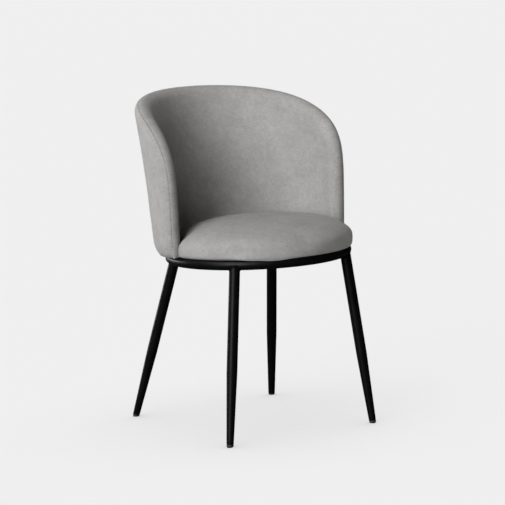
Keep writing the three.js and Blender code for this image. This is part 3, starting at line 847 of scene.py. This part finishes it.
def seat_form():
    """The cushion as a closed form: crown, rounded side, hem, and a flat underside."""
    share, turn = cap_plan()
    x, y = seat_place(share, turn, SEAT_SHRINK)
    crown_points = np.stack([x, y, seat_dome(share)], -1).reshape(-1, 3)
    number = np.arange(share.size).reshape(share.shape)
    angle = cap_edge(turn)
    hem_inset, hem_height = hem_line(angle)
    rows = []
    top = SEAT_WIDEST - SEAT_SHRINK
    for part in np.linspace(0, 1, SIDE_STEPS + 1)[1:]:
        bend = 1 - (1 - part ** SIDE_POWER) ** (1 / SIDE_POWER)
        inset = SEAT_SHRINK + (hem_inset - SEAT_SHRINK) * bend
        rows.append((*seat_place(1, angle, inset), top - (top - hem_height) * part))
    for part in (0.4, 1):
        x, y = seat_place(1, angle, hem_inset + HEM_WIDTH * part)
        rows.append((x, y, over_hoop(x, y)))
    x, y = seat_place(UNDER_SHARE * share, turn, SEAT_SHRINK)
    under_points = np.stack([x, y, UNDERSIDE + 0 * x], -1).reshape(-1, 3)

    count = len(angle)
    first_row = share.size
    under = number + first_row + len(rows) * count
    chains = [cap_edge(number)]
    chains += [first_row + row * count + np.arange(count) for row in range(len(rows))]
    chains.append(cap_edge(under))
    faces = grid_quads(number) + grid_quads(under[::-1])
    for above, below in zip(chains, chains[1:]):
        faces += list(zip(above, np.roll(above, -1), np.roll(below, -1), below))
    points = [crown_points, *[np.stack(row, -1) for row in rows], under_points]
    return np.concatenate(points), faces


CLOTH_PRESSURE = 5.0
CLOTH_FRAMES = 20
SEAT_CAP = 0.006                 # no point is blown out further than this
PIN_Z = 0.4435                   # cloth below this is held by the hem and the board


def mesh_points(mesh):
    points = np.zeros(len(mesh.vertices) * 3)
    mesh.vertices.foreach_get("co", points)
    return points.reshape(-1, 3)


def apply_modifiers(piece):
    graph = bpy.context.evaluated_depsgraph_get()
    mesh = bpy.data.meshes.new_from_object(piece.evaluated_get(graph))
    piece.modifiers.clear()
    piece.data = mesh
    mesh.shade_smooth()


def spread_out(mesh, field, free, rounds):
    """Averages a field over neighbouring points, held at zero where the mesh isn't free."""
    ends = np.zeros(len(mesh.edges) * 2, int)
    mesh.edges.foreach_get("vertices", ends)
    first, second = ends.reshape(-1, 2).T
    degree = np.bincount(ends, minlength=len(field))[:, None]
    for _ in range(rounds):
        total = np.zeros_like(field)
        np.add.at(total, first, field[second])
        np.add.at(total, second, field[first])
        field = (0.5 * field + 0.5 * total / degree) * free[:, None]
    return field


WRINKLE_SHARE = 0.2              # how much of the cloth's finest folds is kept
WRINKLE_ROUNDS = 60


def inflate(piece, pinned, pressure, cap):
    """Blows a closed form up as cloth and keeps the result, with no point moved further than cap."""
    start = mesh_points(piece.data)
    group = piece.vertex_groups.new(name="pinned")
    for index in np.nonzero(pinned(start))[0]:
        group.add([int(index)], 1.0, "REPLACE")
    modifier = piece.modifiers.new("cloth", "CLOTH")
    cloth = modifier.settings
    cloth.quality = 6
    cloth.mass = 0.35
    cloth.tension_stiffness = 8
    cloth.compression_stiffness = 8
    cloth.bending_stiffness = 5
    cloth.use_pressure = True
    cloth.uniform_pressure_force = pressure
    cloth.vertex_group_mass = group.name
    cloth.effector_weights.gravity = 0
    modifier.collision_settings.use_collision = False
    modifier.point_cache.frame_end = CLOTH_FRAMES
    for step in range(1, CLOTH_FRAMES + 1):
        SCENE.frame_set(step)
    graph = bpy.context.evaluated_depsgraph_get()
    settled = bpy.data.meshes.new_from_object(piece.evaluated_get(graph))
    move = mesh_points(settled) - start
    smooth = spread_out(piece.data, move, ~pinned(start), WRINKLE_ROUNDS)
    move = smooth + WRINKLE_SHARE * (move - smooth)
    length = np.linalg.norm(move, axis=1)[:, None]
    move *= np.minimum(1, cap / np.maximum(length, 1e-9))
    piece.modifiers.clear()
    piece.data.vertices.foreach_set("co", (start + move).ravel())
    piece.vertex_groups.clear()
    bpy.data.meshes.remove(settled)
    SCENE.frame_set(1)


def soften(piece, rounds):
    modifier = piece.modifiers.new("smooth", "SMOOTH")
    modifier.factor = 0.5
    modifier.iterations = rounds
    apply_modifiers(piece)


def subdivide(piece):
    piece.modifiers.new("subdivision", "SUBSURF").levels = 1
    apply_modifiers(piece)


WELT_RADIUS = 0.0013
WELT_OUT = 0.0004                # it stands this far out of the hem
WELT_STEPS = (361, 13)


def build_welt():
    """The thin rolled edge that finishes the cushion's cloth just above the hoop."""
    angle = np.linspace(0, 2 * math.pi, WELT_STEPS[0])[:-1]
    inset, height = hem_line(angle)
    x, y = seat_place(1, angle, inset - WELT_OUT)
    centre = np.stack([x, y, height + WELT_RADIUS], -1)
    out = centre[:, :2] - (0, SEAT_Y)
    out /= np.linalg.norm(out, axis=1)[:, None]
    turn = np.linspace(0, 2 * math.pi, WELT_STEPS[1])[:-1]
    rows = np.repeat(centre[:, None], len(turn), 1)
    rows[..., :2] += out[:, None] * (WELT_RADIUS * np.cos(turn))[None, :, None]
    rows[..., 2] += WELT_RADIUS * np.sin(turn)
    points, faces = swept_grid(rows)
    weave = points[:, :2] - (0, SEAT_Y)
    finish_piece(make_piece("seat_welt", points, faces, weave), "grey_cloth", CLOTH)


SEAT_SWELL = (0.14, 0.0007)      # pitch and height of the padding's unevenness
SWELL_FROM = 0.008               # it starts this high above the cloth's foot
SWELL_FADE = 0.02


def build_seat():
    """The cushion: blown up as cloth, smoothed, and given the cloth's slow unevenness."""
    points, faces = seat_form()
    cushion = make_piece("seat_cushion", points, faces)
    inflate(cushion, lambda p: p[:, 2] < PIN_Z, CLOTH_PRESSURE, SEAT_CAP)
    soften(cushion, 3)
    subdivide(cushion)
    points = mesh_points(cushion.data)
    flat = points[:, :2] - (0, SEAT_Y)
    reach = np.linalg.norm(flat, axis=1)
    drop = np.clip(SEAT_CROWN - points[:, 2], 0, None)
    flat *= (1 + drop / np.maximum(reach, 0.01))[:, None]
    pitch, height = SEAT_SWELL
    swell = height * smooth_noise(flat[:, 0] / pitch, flat[:, 1] / pitch, 51)
    swell *= np.clip((points[:, 2] - FOOT_Z - SWELL_FROM) / SWELL_FADE, 0, 1)
    normals = np.zeros(len(points) * 3)
    cushion.data.vertices.foreach_get("normal", normals)
    points = points + normals.reshape(-1, 3) * swell[:, None]
    cushion.data.vertices.foreach_set("co", points.ravel())
    store_weave(cushion.data, flat)
    finish_piece(cushion, "grey_cloth", CLOTH, "seat_cover", "seat_foam")


# ---- Steel base ----

HOOP_STEPS = (289, 41)           # round the hoop and round its tube


def build_hoop():
    around = np.linspace(0, 2 * math.pi, HOOP_STEPS[0])[:-1][:, None]
    across = np.linspace(0, 2 * math.pi, HOOP_STEPS[1])[:-1][None]
    radius = HOOP_R + TUBE * np.cos(across)
    grid = np.stack([
        radius * np.sin(around),
        HOOP_Y - radius * np.cos(around),
        HOOP_Z + TUBE * np.sin(across) + 0 * around,
    ], -1)
    points, faces = swept_grid(grid)
    finish_piece(make_piece("hoop_tube", points, faces), "black_steel", STEEL, "seat_hoop")


LEG_CIRCLE = 0.2165              # where the legs' axes would cross the hoop's level
LEG_TOP_R = 0.0128
LEG_TIP_R = 0.0086
LEG_STRAIGHT = 0.59              # upper share of a leg that keeps its full width
LEG_BURIED = 0.003               # a leg ends at least this far below the hoop's centre line
LEG_BORE = 0.8                   # radius inside the tube's wall, as a share of the outside
LEG_STEPS = 65
GLIDE_STEPS = 49
GLIDE_HEIGHT = 0.007
GLIDE_END = -0.004               # where a glide would end along the leg, were it not cut at the floor
LEG_ANGLES = {
    "front_left": math.radians(-45),
    "front_right": math.radians(45),
    "rear_left": math.radians(-140.8),
    "rear_right": math.radians(140.8),
}
LEG_FEET = {"front": (0.2006, HOOP_Y - 0.1709), "rear": (0.2006, HOOP_Y + 0.3173)}


def leg_frame(corner):
    """Foot, unit axis, two unit vectors across it, and the length up to the hoop's centre line."""
    end, side = corner.split("_")
    x, y = LEG_FEET[end]
    foot = np.array([x if side == "right" else -x, y, 0.0])
    turn = LEG_ANGLES[corner]
    head = np.array([LEG_CIRCLE * math.sin(turn), HOOP_Y - LEG_CIRCLE * math.cos(turn), HOOP_Z])
    axis = head - foot
    length = np.linalg.norm(axis)
    axis /= length
    across = np.cross((0, 0, 1), axis)
    across /= np.linalg.norm(across)
    return foot, axis, across, np.cross(axis, across), length


def round_leg(corner, steps):
    """Angles round a leg's axis, and the unit vectors that point that way."""
    _, _, across, along, _ = leg_frame(corner)
    angle = np.linspace(0, 2 * math.pi, steps)[:-1]
    return angle, across * np.cos(angle)[:, None] + along * np.sin(angle)[:, None]


def hoop_distance(points):
    """Distance from the hoop's centre line."""
    out = np.hypot(points[..., 0], points[..., 1] - HOOP_Y) - HOOP_R
    return np.hypot(out, points[..., 2] - HOOP_Z)


SADDLE_SPAN = (-0.045, 0.004)    # where a leg can meet the hoop, along it from its own upper end
SADDLE_STEPS = 500
WELD_STEPS = 400


def saddle(corner, radius, reach):
    """Where a tube of this radius round the leg's axis first comes within reach of the hoop's centre."""
    foot, axis, _, _, length = leg_frame(corner)
    _, out = round_leg(corner, LEG_STEPS)
    steps = np.linspace(length + SADDLE_SPAN[0], length + SADDLE_SPAN[1], SADDLE_STEPS)
    points = foot + (out * radius)[:, None] + axis * steps[None, :, None]
    distance = hoop_distance(points)
    touching = distance <= reach
    first = np.where(touching.any(1), touching.argmax(1), distance.argmin(1))
    return np.minimum(steps[first], length - LEG_BURIED)


def build_leg(corner):
    """A tapered tube with a rounded lower edge, cut to fit the hoop."""
    foot, axis, _, _, length = leg_frame(corner)
    _, out = round_leg(corner, LEG_STEPS)
    top = saddle(corner, LEG_TOP_R, TUBE)
    knee = length * (1 - LEG_STRAIGHT)
    heights = [GLIDE_HEIGHT, GLIDE_HEIGHT + 0.0006, GLIDE_HEIGHT + 0.002]
    heights += list(np.linspace(GLIDE_HEIGHT + 0.01, knee - 0.012, 14))
    heights += list(np.linspace(knee - 0.006, knee + 0.006, 4))
    heights += list(np.linspace(knee + 0.02, length - 0.046, 10))
    radii = np.interp(heights, [GLIDE_HEIGHT, knee], [LEG_TIP_R, LEG_TOP_R])
    radii[0] -= 0.0007
    radii[1] -= 0.0002
    rows = [foot + out * radius + axis * height for height, radius in zip(heights, radii)]
    for share in (0.5, 0.85, 1.0):
        rise = heights[-1] + (top - heights[-1]) * share
        rows.append(foot + out * LEG_TOP_R + axis * rise[:, None])
    rows.append(foot + out * LEG_TOP_R * LEG_BORE + axis * (top + 0.001)[:, None])
    rows.append(foot + out * LEG_TIP_R * LEG_BORE + axis * (GLIDE_HEIGHT + 0.001))
    points, faces = swept_grid(np.array(rows))
    leg = make_piece(f"leg_tube_{corner}", points, faces)
    finish_piece(leg, "black_steel", STEEL, f"leg_{corner}")


WELD_LEG = 0.0042                # how far the weld's fillet spreads on the tubes
WELD_OUT = 0.55                  # share of that by which it widens
WELD_RIPPLE = 0.06
WELD_HOLLOW = 0.7                # 0 is a straight fillet, 1 a fully hollow one
WELD_ROOT = (0.0015, 0.001)      # how far its root lies inside the leg's and the hoop's surface
TOUCH = 0.0001                   # how far its edges stand off those surfaces


def build_weld(corner):
    """The smooth weld fillet between a leg and the hoop."""
    foot, axis, _, _, length = leg_frame(corner)
    angle, out = round_leg(corner, LEG_STEPS)
    ripple = 1 + WELD_RIPPLE * smooth_noise(angle / 0.45, 0, 71)
    low_end = saddle(corner, LEG_TOP_R, TUBE + TOUCH) - WELD_LEG * ripple
    low = foot + out * (LEG_TOP_R + TOUCH) + axis * low_end[:, None]
    heights = length + np.linspace(*SADDLE_SPAN, WELD_STEPS)
    places = []
    for radius, direction in zip(LEG_TOP_R + WELD_LEG * WELD_OUT * ripple, out):
        line = foot + direction * radius + axis * heights[:, None]
        distance = hoop_distance(line)
        near = np.nonzero(distance <= TUBE + TOUCH)[0]
        places.append(line[near[0]] if len(near) else line[distance.argmin()])
    high = np.array(places)
    leg_root, hoop_root = WELD_ROOT
    inner_end = saddle(corner, LEG_TOP_R, TUBE - hoop_root)
    inner = foot + out * (LEG_TOP_R - leg_root) + axis * inner_end[:, None]
    corner_line = foot + out * LEG_TOP_R + axis * saddle(corner, LEG_TOP_R, TUBE)[:, None]
    rows = []
    for share in np.linspace(0, 1, 7):
        bow = (1 - share) ** 2 * low + 2 * share * (1 - share) * corner_line + share ** 2 * high
        straight = (1 - share) * low + share * high
        rows.append(WELD_HOLLOW * bow + (1 - WELD_HOLLOW) * straight)
    rows.append(inner)
    points, faces = swept_grid(np.array(rows))
    finish_piece(make_piece(f"weld_{corner}", points, faces), "black_steel", STEEL)


def build_glide(corner):
    """A plastic foot, square to the leg above and flat on the floor below."""
    foot, axis, _, _, _ = leg_frame(corner)
    _, out = round_leg(corner, GLIDE_STEPS)
    profile = [
        (0.0, GLIDE_END), (LEG_TIP_R - 0.0022, GLIDE_END), (LEG_TIP_R - 0.0014, 0.0010),
        (LEG_TIP_R - 0.0004, 0.0022), (LEG_TIP_R, 0.0036), (LEG_TIP_R, GLIDE_HEIGHT - 0.0010),
        (LEG_TIP_R - 0.0004, GLIDE_HEIGHT - 0.0004), (0.0, GLIDE_HEIGHT - 0.0004),
    ]
    rows = np.array([foot + out * radius + axis * height for radius, height in profile])
    rows[..., 2] = np.maximum(rows[..., 2], 0)
    points, faces = swept_grid(rows, closed_rows=False)
    glide = make_piece(f"foot_glide_{corner}", points, faces)
    finish_piece(glide, "black_plastic", PLASTIC, f"glide_{corner}")


# ---- CAD nodes that stay as they are ----

PLATE_EDGE = 0.0004              # rounding of the steel plates' edges


def finish_frame_nodes():
    """Gives every CAD node its material, and rounds the edges of the plates."""
    slots = {entry["node"]: entry["material_slot"] for entry in frame["record"]["subparts"]}
    for name, node in frame["nodes"].items():
        node.data.materials.clear()
        node.data.materials.append(SLOT_MATERIALS[slots[name]])
        if name.startswith(("seat_tab", "back_bracket")):
            bevel = node.modifiers.new("edge", "BEVEL")
            bevel.width = PLATE_EDGE
            bevel.segments = 2
            bevel.angle_limit = math.radians(50)


build_camera()
build_light()
build_floor()
finish_frame_nodes()
build_back()
build_seat()
build_welt()
build_hoop()
for corner_name in CORNERS:
    build_leg(corner_name)
    build_weld(corner_name)
    build_glide(corner_name)

SCENE.view_settings.view_transform = "Standard"
